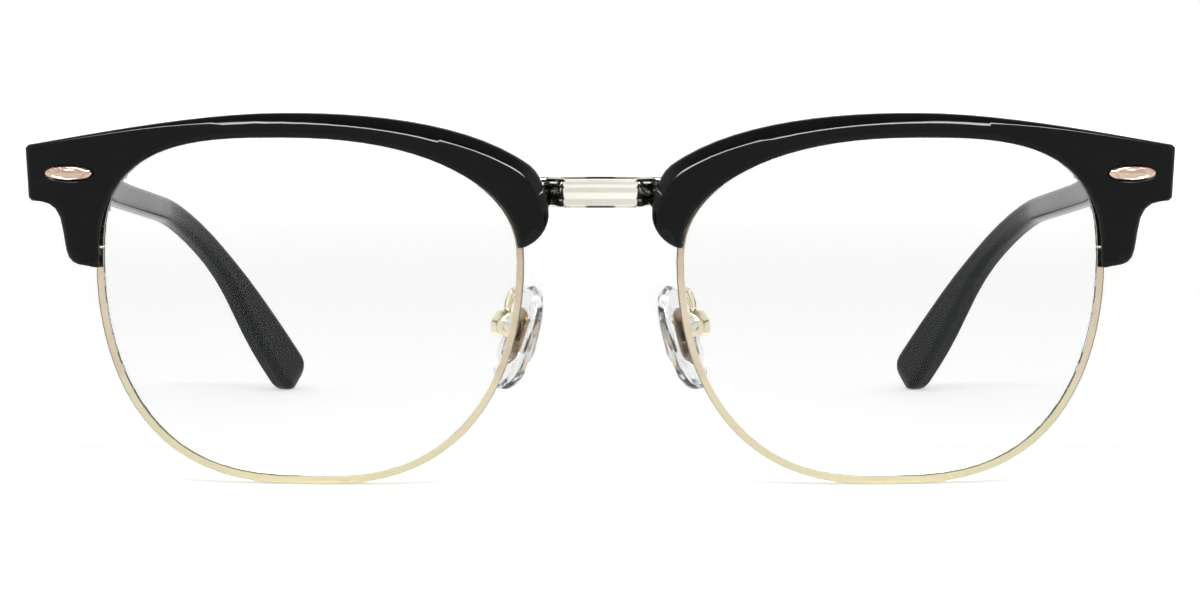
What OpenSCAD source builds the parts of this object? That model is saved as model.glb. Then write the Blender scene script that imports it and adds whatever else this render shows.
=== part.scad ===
// Half rim (browline) eyeglasses.
// Two black acetate brow bars carry the temples; two grooved metal eyewires hold
// the lenses and hang from the brow bars; a ribbed metal bridge joins them, and
// two rocking nose pads sit on gooseneck arms.
// Millimetres. +Z is up, the front faces -Y and the temples run back along +Y.
// The origin is under the middle of the open frame, on the surface it stands on.
// "left" is the wearer's left, which is +X. Every paired piece is drawn for the
// left side and mirrored for the right one.

/* [Lenses] */
// Boxed width of one lens, bevel included
lens_w = 53; // [48:0.5:56]
// Boxed height of one lens, bevel included
lens_h = 43.4; // [38:0.2:46]
// Distance between the two lenses
bridge_w = 20.4; // [18.4:0.2:24]
// Thickness of a lens
lens_t = 1.8; // [1.5:0.1:2.2]
// Radius of the front surface of a lens
base_r = 131; // [110:1:170]
// Angle each lens is turned back at the temple side
wrap = 5; // [3:0.5:7]
// Height of the bevel that runs round a lens
bevel_d = 0.3; // [0.2:0.05:0.5]

/* [Eyewires] */
// Metal outside the bottom of the groove
rim_wall = 0.65; // [0.5:0.05:1]
// Eyewire from front to back
rim_depth = 2.4; // [2.3:0.1:3]
// Lip of the eyewire in front of the lens
rim_lip = 0.3; // [0.2:0.05:0.5]
// Gap where the two ends of an eyewire meet
rim_split = 0.3; // [0.2:0.05:0.5]

/* [Brow bars] */
// Reach of the end block beyond the lens opening
end_w = 10.3; // [9:0.1:12]
// Brow bar above the top of the lens
brow_top = 3.1; // [2.4:0.05:5]
// Acetate in front of the eyewire
brow_front = 1.5; // [1.2:0.1:2.5]
// Rise of the rounded front face
brow_crown = 0.15; // [0:0.05:0.5]
// Slope along the outer front edge of the end block
edge_fall = 0.4; // [0.3:0.05:0.6]
// Slope along the same edge above the nose lobe
nose_fall = 1.5; // [1:0.1:1.8]
// Height of the end block that meets the temple
end_h = 7.1; // [6.6:0.1:8]
// Middle of the end block below the top of the lens
end_drop = 4.6; // [4:0.05:6]
// Back of the end block behind the pole of the front surface
end_depth = 13; // [12:0.1:16]
// Width of the leg that runs down beside the lens
leg_w = 5; // [4.6:0.1:6]
// Bottom of the leg below the top of the lens
leg_drop = 16.2; // [15:0.1:17.5]
// Reach of the nose lobe beyond the lens
lobe_w = 4.05; // [3.8:0.05:4.4]

/* [Bridge] */
// Height of the bridge bar
bridge_h = 3.9; // [3:0.1:5]
// Thickness of the bridge bar
bridge_t = 1.7; // [1.2:0.1:2]
// Middle of the bridge below the top of the lens
bridge_drop = 7.25; // [6.4:0.1:7.8]
// Rise of the bridge in the middle
bridge_arch = 0.45; // [0:0.05:1]
// Depth of the grooves along the bridge
rib_d = 0.16; // [0.05:0.01:0.3]

/* [Nose pads] */
// Length of a pad
pad_l = 14; // [12:0.2:16]
// Width of a pad
pad_w = 7.2; // [6.5:0.1:9]
// Thickness of a pad
pad_t = 2.7; // [2.4:0.1:3.4]
// Distance from the middle of the frame to the pivot of a pad
pad_x = 12.4; // [11.4:0.1:14]
// Height of the pivot of a pad above the floor
pad_z = 19.9; // [18:0.1:22]
// Pivot of a pad behind the pole of the front surface
pad_y = 8.3; // [7.6:0.1:10]
// Turn of a pad towards the wearer
pad_splay = 30; // [20:1:36]
// Lean of a pad, its top towards the middle
pad_lean = 20; // [10:1:24]
// Radius of the pad arm's wire
arm_r = 0.45; // [0.35:0.05:0.6]

/* [Hinges] */
// Radius of a hinge barrel
barrel_r = 1.45; // [1.3:0.05:1.7]
// Height of one of the five barrels
barrel_h = 1.1; // [1:0.05:1.2]
// Thickness of a hinge plate
plate_t = 1; // [0.8:0.1:1.3]
// Height of a hinge plate
plate_h = 3.8; // [3:0.1:4.2]
// Length of the plate in the temple
temple_plate_l = 9.5; // [7:0.5:14]

/* [Temples] */
// Thickness of a temple where it meets the front
temple_t = 4; // [3.6:0.1:4.6]
// Thickness of a temple along its arm
arm_t = 3; // [2.8:0.1:3.8]
// Height of a temple along its arm
arm_h = 3.65; // [3.2:0.05:5]
// Height of the rounded tip
tip_h = 6.5; // [5:0.1:8]
// Thickness of the rounded tip
tip_t = 4; // [3:0.1:4.6]
// Length of the straight arm, from the front to the bend over the ear
arm_l = 87; // [80:1:95]
// Downward slope of the arm
arm_slope = 5.6; // [4:0.1:8]
// Downward slope of the part behind the ear
drop_slope = 49.5; // [35:0.5:55]
// Radius of the bend over the ear
bend_r = 47.6; // [30:0.2:60]
// Slope of the arm towards the head
arm_toe = 3.2; // [2:0.1:5]
// Inward curl of the tip at its end
tip_curl = 13.3; // [6:0.1:16]

/* [Fasteners] */
// Radius of the small screws' shanks
screw_r = 0.55; // [0.5:0.05:0.7]
// Radius of the small screws' heads
head_r = 0.95; // [0.8:0.05:1.1]
// Height of the small screws' heads
head_h = 0.5; // [0.4:0.05:0.6]
// Length of the oval shield on the end block
shield_l = 6.4; // [5:0.1:7]
// Height of the oval shield
shield_h = 1.8; // [1.6:0.05:2.4]

/* [Fits] */
// Radial clearance of a pin in a turning bore
run_fit = 0.05; // [0.03:0.01:0.08]
// Clearance between pieces that are fixed to each other
seat_gap = 0.06; // [0.04:0.01:0.1]
// Gap between a temple and the end block, and between barrels
butt_gap = 0.15; // [0.1:0.01:0.3]

/* [Hidden] */

$fn = 32;
eps = 0.01;
tiny = 0.001;
LEFT = 1;
RIGHT = -1;

// ---- Shared maths -------------------------------------------------------------

function lerp(a, b, t) = a + (b - a) * t;
function unit(v) = v / norm(v);
function smooth(t) = let (u = max(0, min(1, t))) u * u * (3 - 2 * u);
function bezier(p, t) =
  pow(1 - t, 3) * p[0] + 3 * pow(1 - t, 2) * t * p[1]
  + 3 * (1 - t) * t * t * p[2] + pow(t, 3) * p[3];

// Triangles that close an outline of n points, all from the point at corner
function fan(n, corner = 0) =
  [for (j = [1:n - 2]) [corner, (corner + j) % n, (corner + j + 1) % n]];

// Solid through rings that all have the same number of points, closed by triangles
module skin(rings, cap = undef) {
  n = len(rings[0]);
  m = len(rings);
  lid = is_undef(cap) ? fan(n) : cap;
  sides = [
    for (i = [0:m - 2], j = [0:n - 1])
      let (a = i * n + j, b = i * n + (j + 1) % n)
        each [[a, b, b + n], [a, b + n, a + n]]
  ];
  first = [for (t = lid) [t[2], t[1], t[0]]];
  last = [for (t = lid) t + [1, 1, 1] * (m - 1) * n];
  polyhedron([for (ring = rings) each ring], concat(first, sides, last));
}

function reversed(list) = [for (i = [len(list) - 1:-1:0]) list[i]];

// ---- Lens outline and front surface ---------------------------------------------

// Half width and half height of the opening in the eyewire
open_hw = lens_w / 2 - bevel_d;
open_hh = lens_h / 2 - bevel_d;
rim_w = bevel_d + rim_wall;
lens_cx = (bridge_w + lens_w) / 2;
lens_cz = open_hh + rim_w;
lens_top = lens_cz + open_hh;
nose_edge = lens_cx - open_hw;
temple_edge = lens_cx + open_hw;

// The four outermost points of the opening, as shares of its half sizes, and the
// roundness of each quarter between them along the first and the second axis.
EXTREMES = [[1, 0.28], [0.12, 1], [-1, 0.28], [-0.03, -1]];
ROUNDNESS = [[2.95, 2.95], [2.25, 2.25], [2.6, 2.1], [2.1, 2.9]];

// Point of the opening at q, which runs 0..4: temple side, top, nose side, bottom
function opening_at(q) =
  let (
    k = floor(q + 4) % 4,
    angle = (q - floor(q)) * 90,
    a = EXTREMES[k],
    b = EXTREMES[(k + 1) % 4],
    c = k % 2 == 0 ? [b[0], a[1]] : [a[0], b[1]],
    p = c + (a - c) * pow(cos(angle), 2 / ROUNDNESS[k][0])
      + (b - c) * pow(sin(angle), 2 / ROUNDNESS[k][1])
  )
  [lens_cx + open_hw * p[0], lens_cz + open_hh * p[1]];

// Outward normal of the opening at q
function outward(q) =
  let (t = opening_at(q + 4 + tiny) - opening_at(q + 4 - tiny)) unit([t[1], -t[0]]);

function outline_at(q, offset) = opening_at(q) + outward(q) * offset;

// Spherical front surface of the lens, turned back by the wrap angle
pole_x = lens_cx - base_r * sin(wrap);
function sag(p) =
  base_r - sqrt(pow(base_r, 2) - pow(p[0] - pole_x, 2) - pow(p[1] - lens_cz, 2));
function turn_at(x) = asin((x - pole_x) / base_r);
function tilt_at(z) = asin((z - lens_cz) / base_r);
function on_front(p, depth) = [p[0], sag(p) + depth, p[1]];

// Steps per quarter of the outline
STEPS = 20;
OUTLINE_QS = [for (i = [0:4 * STEPS - 1]) i / STEPS];

rim_back = rim_depth - rim_lip;
front_face = rim_lip + brow_front;

// ---- Placing ---------------------------------------------------------------------

end_z = lens_top - end_drop;
lobe_low = [nose_edge - lobe_w / 2, lens_top - leg_drop + 2];
front_y = sag(lobe_low) - front_face - brow_crown;

module placed(side) {
  translate([0, -(front_y + back_y) / 2, 0])
    mirror([side == RIGHT ? 1 : 0, 0, 0])
      children();
}

// Stands children on the back of the front, square to its surface
module behind_front(x, z) {
  translate([x, sag([x, z]) + rim_back + seat_gap, z])
    rotate([-tilt_at(z), 0, turn_at(x)])
      children();
}

// ---- Lenses ------------------------------------------------------------------------

module outline_prism(offset) {
  rotate([90, 0, 0])
    translate([0, 0, -end_depth])
      linear_extrude(2 * end_depth)
        polygon([for (q = OUTLINE_QS) outline_at(q, offset)]);
}

// Part of a hollow sphere that follows the front surface
module front_shell(from, to) {
  translate([pole_x, base_r, lens_cz])
    difference() {
      sphere(base_r - from, $fn = 96);
      sphere(base_r - to, $fn = 96);
    }
}

// Flat of the bevel tip, centred in the lens edge
bevel_tip = 0.4;

module lens(side) {
  color([0.9, 0.93, 0.92, 0.25])
    placed(side) {
      intersection() {
        front_shell(0, lens_t);
        outline_prism(-seat_gap);
      }
      intersection() {
        front_shell((lens_t - bevel_tip) / 2, (lens_t + bevel_tip) / 2);
        outline_prism(bevel_d);
      }
    }
}

// ---- Eyewires ------------------------------------------------------------------------

edge_r = 0.35;
groove_w = 0.9;
groove_floor = bevel_tip + 3 * seat_gap;
// Where the eyewire's ends meet, behind the leg of the brow bar
LOCK_Q = 0.02;
lock_z = opening_at(LOCK_Q)[1];

function rim_ring(q) =
  let (
    mid = lens_t / 2,
    deep = bevel_d + seat_gap,
    section = [
      [0, -rim_lip], [rim_w - edge_r, -rim_lip],
      [rim_w - edge_r / 4, -rim_lip + edge_r / 4], [rim_w, edge_r - rim_lip],
      [rim_w, rim_back - edge_r], [rim_w - edge_r / 4, rim_back - edge_r / 4],
      [rim_w - edge_r, rim_back], [0, rim_back],
      [0, mid + groove_w / 2], [deep, mid + groove_floor / 2],
      [deep, mid - groove_floor / 2], [0, mid - groove_w / 2]
    ]
  )
  [for (v = section) on_front(outline_at(q, v[0]), v[1])];

// The section is hollowed by the groove, so it is closed from the groove's floor
RIM_CAP = concat([for (j = [10:14]) [10, (j + 1) % 12, (j + 2) % 12]], [[10, 4, 9]],
  [for (j = [4:7]) [9, j, j + 1]]);

module rim(side) {
  // One unit of q is about this long where the ends meet
  slope = norm(opening_at(LOCK_Q + eps) - opening_at(LOCK_Q - eps)) / (2 * eps);
  half_gap = rim_split / 2 / slope;
  first = LOCK_Q + half_gap;
  last = 4 + LOCK_Q - half_gap;
  inner = [for (q = OUTLINE_QS) each (q > first ? [q] : [])];
  color([0.82, 0.77, 0.62])
    placed(side)
      skin([for (q = reversed(concat([first], inner, [4, last]))) rim_ring(q)], RIM_CAP);
}

// ---- Brow bars -----------------------------------------------------------------------

end_x = temple_edge + end_w;
end_top = end_z + end_h / 2;
end_low = end_z - end_h / 2;
leg_x = temple_edge + leg_w;
leg_low = lens_top - leg_drop;
lobe_x = nose_edge - lobe_w;
peak_x = lerp(lens_cx, temple_edge, EXTREMES[1][0]);
peak_z = lens_top + brow_top;
corner = 0.4;
// Unit of the brow bar's curves
u = lens_w / 50;

// Where the leg ends, just past the outermost point of the opening
LEG_Q = -0.02;
// Outer edge of the brow bar, as curves from the leg round the top to the nose lobe
BROW_EDGE = [
  // [from q, to q, four control points]
  [LEG_Q, 0.1, [
    [leg_x - 1.7 * u, leg_low + 0.1 * u], [leg_x - 0.2 * u, leg_low + 0.3 * u],
    [leg_x - 0.2 * u, leg_low + 2.1 * u], [leg_x + 0.15 * u, leg_low + 3.9 * u]
  ]],
  [0.1, 0.225, [
    [leg_x + 0.15 * u, leg_low + 3.9 * u], [leg_x + 0.6 * u, end_low - 0.2 * u],
    [leg_x + 2.1 * u, end_low - 0.1 * u], [end_x - 0.5 - corner, end_low]
  ]],
  [0.25, 0.45, [
    [end_x - 0.5, end_low + corner], [end_x - 0.35, lerp(end_low, end_top, 0.35)],
    [end_x - 0.15, lerp(end_low, end_top, 0.65)], [end_x, end_top - corner]
  ]],
  [0.475, 1, [
    [end_x - corner, end_top], [end_x - 9.15 * u, end_top + 1.5 * u],
    [peak_x + 9.9 * u, peak_z], [peak_x, peak_z]
  ]],
  [1, 1.65, [
    [peak_x, peak_z], [peak_x - 10.4 * u, peak_z + 0.1 * u],
    [nose_edge + 5.3 * u, peak_z - 1.15 * u], [nose_edge - 1.6 * u, lens_top - 3.3 * u]
  ]],
  [1.65, 1.8, [
    [nose_edge - 1.6 * u, lens_top - 3.3 * u], [nose_edge - 2.9 * u, lens_top - 4.35 * u],
    [lobe_x - 0.05 * u, lens_top - 6.8 * u], [lobe_x, lens_top - 9.25 * u]
  ]],
  [1.8, 1.95, [
    [lobe_x, lens_top - 9.25 * u], [lobe_x + 0.1 * u, lens_top - 10.9 * u],
    [nose_edge - 2.5 * u, lens_top - 12.3 * u], [nose_edge - 1.15 * u, lens_top - 12.85 * u]
  ]]
];

// Stations: two to an outline step at the leg and the nose lobe, one over the lens
BROW_QS = concat(
  [LEG_Q],
  [for (i = [0:9]) i / (2 * STEPS)],
  [for (i = [5:9]) i / STEPS],
  [0.475],
  [for (i = [10:31]) i / STEPS],
  [for (i = [64:78]) i / (2 * STEPS)]
);

function brow_edge(q) =
  let (c = [for (s = BROW_EDGE) each (q >= s[0] - eps / 4 && q <= s[1] + eps / 4 ? [s] : [])][0])
  bezier(c[2], (q - c[0]) / (c[1] - c[0]));

// How far the section has grown into the end block, 0 over the lens and 1 at the hinge
function end_share(q) = smooth((q - 0.13) / 0.08) * (1 - smooth((q - 0.5) / 0.28));

// The eyewire shows inside the brow bar at the leg and at the nose lobe only
function reveal(q) = 0.42 * (1 - smooth(q / 0.35) * (1 - smooth((q - 1.5) / 0.4)));

// Width of the slope along the outer front edge: narrow at the end block and widest
// where the bar drops to the nose lobe
function fall_w(q) =
  edge_fall
  + (nose_fall - edge_fall) * (smooth((q - 0.55) / 1.05) - smooth((q - 1.68) / 0.2));

function brow_ring(q) =
  let (
    inner = outline_at(q, reveal(q)),
    n = outward(q),
    seat = outline_at(q, rim_w + 2 * seat_gap),
    outer = brow_edge(q),
    d = unit(outer - inner),
    w = norm(outer - inner),
    share = end_share(q),
    back = function (p) lerp(sag(p) + rim_back, end_depth, share),
    fall = min(fall_w(q), 0.35 * w),
    ridge = outer - d * fall,
    rear = outer - d * min(0.5, 0.2 * w),
    shoulder = lerp(seat, outer, lerp(0.45, 0.2, share))
  )
  [
    on_front(inner, -rim_lip - seat_gap),
    on_front(inner, 0.55 - front_face),
    on_front(inner + n * 0.15, 0.15 - front_face),
    on_front(inner + n * min(0.6, 0.3 * w), -front_face),
    on_front((inner + outer) / 2, -front_face - brow_crown),
    on_front(ridge, -front_face),
    on_front(lerp(ridge, outer, 0.8), 0.75 * fall - front_face),
    on_front(lerp(ridge, outer, 0.96), fall + 0.05 - front_face),
    on_front(outer, fall + 0.35 - front_face),
    [outer[0], back(outer) - 0.5, outer[1]],
    [rear[0], back(rear), rear[1]],
    [shoulder[0], back(shoulder), shoulder[1]],
    on_front(seat, rim_back),
    on_front(seat, -rim_lip - seat_gap)
  ];

module brow(side) {
  color([0.1, 0.11, 0.12])
    placed(side)
      difference() {
        skin([for (q = reversed(BROW_QS)) brow_ring(q)], fan(14, 13));
        hinge_place() front_plate(seat_gap);
        shield_pins(seat_gap);
        shield_place() shield_recess();
        brow_screw_places()
          cylinder(h = 2 * (brow_screw_l + seat_gap), r = screw_r + seat_gap, center = true);
      }
}

// ---- Hinges -------------------------------------------------------------------------

temple_x = end_x - 0.4 - temple_t / 2;
temple_face = temple_x - temple_t / 2;
// Space between the barrels and the acetate beside and in front of them
barrel_space = 0.25;
hinge_x = temple_face - barrel_space - barrel_r;
hinge_y = end_depth + barrel_space + barrel_r;
BARRELS = 5;
barrel_pitch = barrel_h + butt_gap / 2;
barrels_h = BARRELS * barrel_pitch - butt_gap / 2;
front_plate_in = 2.4;
front_plate_out = 3.9;

module hinge_place() {
  translate([hinge_x, hinge_y, end_z]) children();
}

function barrel_low(i) = -barrels_h / 2 + i * barrel_pitch;

// Plate let into the back of the end block, its face flush with the acetate
module front_plate(gap) {
  translate([-front_plate_in - gap, end_depth - hinge_y - plate_t - gap, -plate_h / 2 - gap])
    cube([front_plate_in + front_plate_out + 2 * gap, plate_t + gap, plate_h + 2 * gap]);
}

// Plate let into the inner face of the temple and toed in with it
module temple_plate(gap, open = 0) {
  face_x = temple_face - hinge_x - (hinge_y - front_end_y) * tan(arm_toe);
  translate([face_x, 0, 0])
    rotate([0, 0, arm_toe])
      translate([-open, -barrel_r - gap, -plate_h / 2 - gap])
        cube([plate_t + gap + open, temple_plate_l + 2 * gap, plate_h + 2 * gap]);
}

// The barrels of one leaf: the even ones belong to the front, the odd ones to the temple
module barrels(first, bore_r, reach) {
  difference() {
    for (i = [first:2:BARRELS - 1])
      translate([0, 0, barrel_low(i)]) {
        cylinder(h = barrel_h, r = barrel_r);
        linear_extrude(barrel_h) polygon(reach);
      }
    cylinder(h = 2 * barrels_h, r = bore_r, center = true);
  }
}

module hinge_front(side) {
  to_plate = end_depth - hinge_y;
  color([0.72, 0.7, 0.66])
    placed(side)
      hinge_place() {
        difference() {
          front_plate(0);
          hinge_frame_pins(seat_gap);
        }
        barrels(0, screw_r + seat_gap, [
          [-barrel_r, 0], [-barrel_r, to_plate], [barrel_r, to_plate], [barrel_r, 0]
        ]);
      }
}

module hinge_temple(side) {
  to_plate = temple_face - hinge_x;
  color([0.72, 0.7, 0.66])
    placed(side)
      hinge_place() {
        temple_plate(0);
        barrels(1, screw_r + run_fit, [
          [0, -barrel_r], [to_plate, -barrel_r], [to_plate, barrel_r], [0, barrel_r]
        ]);
      }
}

// Slotted screw with its head up; the shank reaches down by length
module screw(length) {
  difference() {
    union() {
      translate([0, 0, -length]) cylinder(h = length + eps, r = screw_r);
      cylinder(h = head_h, r = head_r);
    }
    translate([-head_r, -0.12, head_h / 2]) cube([2 * head_r, 0.24, head_h]);
  }
}

module hinge_screws() {
  color([0.8, 0.79, 0.76])
    for (side = [LEFT, RIGHT])
      placed(side)
        hinge_place()
          translate([0, 0, barrels_h / 2 + eps])
            screw(barrels_h);
}

// ---- Shields ---------------------------------------------------------------------------

shield_x = end_x - 0.575 * end_w;
shield_front = sag([shield_x, end_z]) - front_face;
// The button's back lies this far below the crown of the brow bar
shield_sunk = 0.25;
shield_pin_dx = 1.35;
shield_pin_r = 0.5;

// Pins run straight back through the end block and end inside the hinge plate
module shield_pins(gap) {
  for (dx = [-1, 1] * shield_pin_dx)
    translate([shield_x + dx, end_depth + eps, end_z])
      rotate([90, 0, 0])
        cylinder(h = end_depth - shield_front - dx * tan(turn_at(shield_x)), r = shield_pin_r + gap);
}

module hinge_frame_pins(gap) {
  translate([-hinge_x, -hinge_y, -end_z]) shield_pins(gap);
}

module shield_place() {
  translate([shield_x, shield_front - brow_crown, end_z])
    rotate([0, 0, turn_at(shield_x)])
      rotate([90, 0, 0])
        children();
}

// Oval button with a bevelled rim round a softly domed face
module shield_head() {
  r = shield_h / 2;
  scale([shield_l / shield_h, 1, 1])
    rotate_extrude()
      polygon([
        [0, -shield_sunk], [r, -shield_sunk], [r, 0.2], [r - 0.14, 0.42], [r - 0.22, 0.42],
        [r - 0.3, 0.28], [r - 0.5, 0.36], [0, 0.4]
      ]);
}

// Shallow bed in the acetate for the button
module shield_recess() {
  translate([0, 0, -shield_sunk - seat_gap])
    scale([(shield_l + 2 * seat_gap) / (shield_h + 2 * seat_gap), 1, 1])
      cylinder(h = 1, r = shield_h / 2 + seat_gap);
}

module rivet_shield(side) {
  color([0.82, 0.7, 0.63])
    placed(side) {
      shield_place() shield_head();
      intersection() {
        shield_pins(0);
        cube([2 * end_x, 2 * (end_depth - 0.2), 4 * end_z], center = true);
      }
    }
}

// ---- Temples ---------------------------------------------------------------------------

front_end_y = end_depth + butt_gap;
bend_y = front_end_y + arm_l * cos(arm_slope);
bend_z = end_z - arm_l * sin(arm_slope);
bend_l = bend_r * (drop_slope - arm_slope) * PI / 180;
drop_y = bend_y + bend_r * (sin(drop_slope) - sin(arm_slope));
drop_z = bend_z - bend_r * (cos(arm_slope) - cos(drop_slope));
drop_l = (drop_z - tip_h / 2) / sin(drop_slope);
temple_l = arm_l + bend_l + drop_l;
tip_y = drop_y + drop_l * cos(drop_slope);
back_y = tip_y + tip_h / 2;

// The curl starts gently at the bend
curl_power = 1.8;
// Share of the hook before it starts to widen
widen_from = 0.5;
// Fullness of the round end
tip_round = 0.95;

// Slope of the temple, s along its middle line
function slope_at(s) =
  arm_slope + (drop_slope - arm_slope) * max(0, min(1, (s - arm_l) / bend_l));

// Height and depth of the middle line
function side_at(s) =
  let (a = slope_at(s))
  s <= arm_l ? [front_end_y + s * cos(a), end_z - s * sin(a)]
  : s <= arm_l + bend_l
    ? [bend_y + bend_r * (sin(a) - sin(arm_slope)), bend_z - bend_r * (cos(arm_slope) - cos(a))]
  : [drop_y + (s - arm_l - bend_l) * cos(a), drop_z - (s - arm_l - bend_l) * sin(a)];

function middle_at(s) =
  let (p = side_at(s), past = max(0, p[0] - bend_y))
  [
    temple_x - (p[0] - front_end_y) * tan(arm_toe) - tip_curl * pow(past / (tip_y - bend_y), curl_power),
    p[0],
    p[1]
  ];

function along_at(s) = unit(middle_at(s + 0.05) - middle_at(s - 0.05));

// Level and upright directions of the section at s; the front end is cut square
function frame_at(s) =
  let (
    t = along_at(s),
    blend = smooth(s / 14),
    across = unit(lerp([1, 0, 0], [t[1], -t[0], 0], blend)),
    up = unit(lerp([0, 0, 1], cross(across, t), blend))
  )
  [across, up];

function height_at(s) =
  s < arm_l ? lerp(end_h - 0.1, arm_h, smooth(s / 42))
  : lerp(arm_h, tip_h, smooth(((s - arm_l) / (temple_l - arm_l - 4) - widen_from) / (1 - widen_from)));

function thick_at(s) =
  s < arm_l ? lerp(temple_t, arm_t, smooth(s / 30))
  : lerp(arm_t, tip_t, smooth((s - arm_l) / (temple_l - arm_l)));

// Section: bevelled inner face, rounded outer face
function temple_section(t, h) =
  let (x = t / 2, z = h / 2, b = min(0.7, h / 6), r = min(1.2, t / 3))
  [
    [-x, -z + b], [-x + b, -z], [x - r, -z], [x - r * 0.38, -z + r * 0.3],
    [x - r * 0.08, -z + r], [x, -z + r * 1.5], [x, z - r * 1.5], [x - r * 0.08, z - r],
    [x - r * 0.38, z - r * 0.3], [x - r, z], [-x + b, z], [-x, z - b]
  ];

// Section placed round the middle line at s
function temple_ring(s, section) =
  let (m = middle_at(s), f = frame_at(s))
  [for (v = section) m + f[0] * v[0] + f[1] * v[1]];

// Section of the round end at an angle past the middle of its circle
function tip_ring(angle) =
  let (out = along_at(temple_l) * tip_h / 2 * sin(angle))
  [for (p = temple_ring(temple_l, temple_section(tip_t, tip_h) * pow(cos(angle), tip_round))) p + out];

ARM_STEPS = 14;
BEND_STEPS = 9;
DROP_STEPS = 4;
TEMPLE_SS = concat(
  [for (i = [0:ARM_STEPS]) arm_l * pow(i / ARM_STEPS, 1.3)],
  [for (i = [1:BEND_STEPS]) arm_l + bend_l * i / BEND_STEPS],
  [for (i = [1:DROP_STEPS]) arm_l + bend_l + drop_l * i / DROP_STEPS]
);
TIP_ANGLES = [20, 38, 54, 68, 80];

// The wire starts behind the hinge plate
wire_from = temple_plate_l + 0.6;
wire_to = temple_l - 5;
wire_w = 1;
wire_h = 1.7;

module wire_skin(gap) {
  flat = [
    [-wire_w / 2 - gap, -wire_h / 2 - gap], [wire_w / 2 + gap, -wire_h / 2 - gap],
    [wire_w / 2 + gap, wire_h / 2 + gap], [-wire_w / 2 - gap, wire_h / 2 + gap]
  ];
  inside = [for (s = TEMPLE_SS) each (s > wire_from && s < wire_to ? [s] : [])];
  skin([for (s = concat([wire_from - gap], inside, [wire_to + gap])) temple_ring(s, flat)]);
}

module temple(side) {
  body = [for (s = TEMPLE_SS) temple_ring(s, temple_section(thick_at(s), height_at(s)))];
  tip = [for (a = TIP_ANGLES) tip_ring(a)];
  color([0.1, 0.11, 0.12])
    placed(side)
      difference() {
        skin(concat(body, tip));
        wire_skin(seat_gap);
        hinge_place() temple_plate(seat_gap, temple_t);
      }
}

module core_wire(side) {
  color([0.7, 0.68, 0.62])
    placed(side)
      wire_skin(0);
}

// ---- Bridge ------------------------------------------------------------------------------

bridge_z = lens_top - bridge_drop;
foot_x = nose_edge + 2;
// The feet follow the lobe with a little room for its curve
foot_gap = 0.08;
lobe_back = function (x) sag([x, bridge_z]) + rim_back + seat_gap;

// Middle line of the right half in plan: flat front, quick turn back, foot behind the lobe
BRIDGE_FLAT = [[0, 1.15], [2.2, 1.15], [3.4, 1.1], [4.3, 1.9]];
BRIDGE_TURN = [
  [4.3, 1.9], [5.1, 2.6], [5.2, 5.3],
  [lobe_x + 1.4, lobe_back(lobe_x + 1.4) + bridge_t / 2 + foot_gap]
];

function bridge_plan(u) =
  u <= 1 ? bezier(BRIDGE_FLAT, u)
  : u <= 2 ? bezier(BRIDGE_TURN, u - 1)
  : let (x = lerp(BRIDGE_TURN[3][0], foot_x, u - 2)) [x, lobe_back(x) + bridge_t / 2 + foot_gap];

BRIDGE_US = concat([for (i = [0:5]) i / 5], [for (i = [1:7]) 1 + i / 7], [2.3, 2.65, 3]);

// Corner of the section that closes its ends, clear of the flattened grooves
BRIDGE_CORNER = 15;

// rib is 1 where the bar is grooved and 0 on the plain feet; seated is its opposite
function bridge_section(rib) =
  let (h = bridge_h / 2, t = bridge_t / 2, g = rib_d * rib)
  [
    [-h + 0.35, -t], [-0.8 - 0.12, -t], [-0.8, g - t], [-0.8 + 0.12, -t],
    [0.6 - 0.1, -t], [0.6, g - t], [0.6 + 0.1, -t],
    [1.35 - 0.1, -t], [1.35, g - t], [1.35 + 0.1, -t],
    [h - 0.25, -t], [h - 0.05, -t + 0.12], [h, -t + 0.35], [h, t - 0.3], [h - 0.3, t],
    [-h + 0.3, t], [-h, t - 0.3], [-h, -t + 0.4], [-h + 0.1, -t + 0.12]
  ];

function bridge_ring(u, hand) =
  let (
    p = bridge_plan(u),
    d = unit(bridge_plan(min(3, u + 0.01)) - bridge_plan(max(0, u - 0.01))),
    z = bridge_z + bridge_arch * (1 - pow(p[0] / foot_x, 2)),
    seated = smooth((u - 1.6) / 0.4)
  )
  [
    for (v = bridge_section(1 - seated))
      let (lean = sag([p[0], z + v[0]]) - sag([p[0], bridge_z]))
        [hand * (p[0] - d[1] * v[1]), p[1] + d[0] * v[1] + seated * lean, z + v[0]]
  ];

module bridge() {
  half = [for (u = BRIDGE_US) bridge_ring(u, 1)];
  count = len(BRIDGE_US);
  other = [for (i = [count - 1:-1:1]) bridge_ring(BRIDGE_US[i], -1)];
  color([0.85, 0.83, 0.78])
    placed(LEFT)
      difference() {
        skin(concat(other, half), fan(len(half[0]), BRIDGE_CORNER));
        for (side = [0, 1])
          mirror([side, 0, 0])
            nose_screw_place() {
              cylinder(h = 4 * bridge_t, r = screw_r + seat_gap, center = true);
              cylinder(h = head_h + 1, r = head_r + seat_gap);
            }
      }
}

// ---- Closing blocks of the eyewires and their screws ----------------------------------------

lock_w = 3.6;
lock_d = 2;
lock_h = 1.3;
// The side towards the lens is cut back so that nothing shows through the opening
lock_bevel = 1.1;
// The block overlaps the back of the eyewire by what is left of the rim's width
lock_x = temple_edge + 0.55 + lock_w / 2;
lock_screw_y = lock_d / 2;
lock_screw_x = 0.55;
lock_screw_l = 2 * lock_h + rim_split - 0.3;
ear_w = 2.6;
ear_h = 2;
ear_t = 0.9;
ear_z = rim_split / 2 + lock_h + ear_h / 2;
brow_screw_l = 2.4;

module lock_place() {
  behind_front(lock_x, lock_z) children();
}

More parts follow.
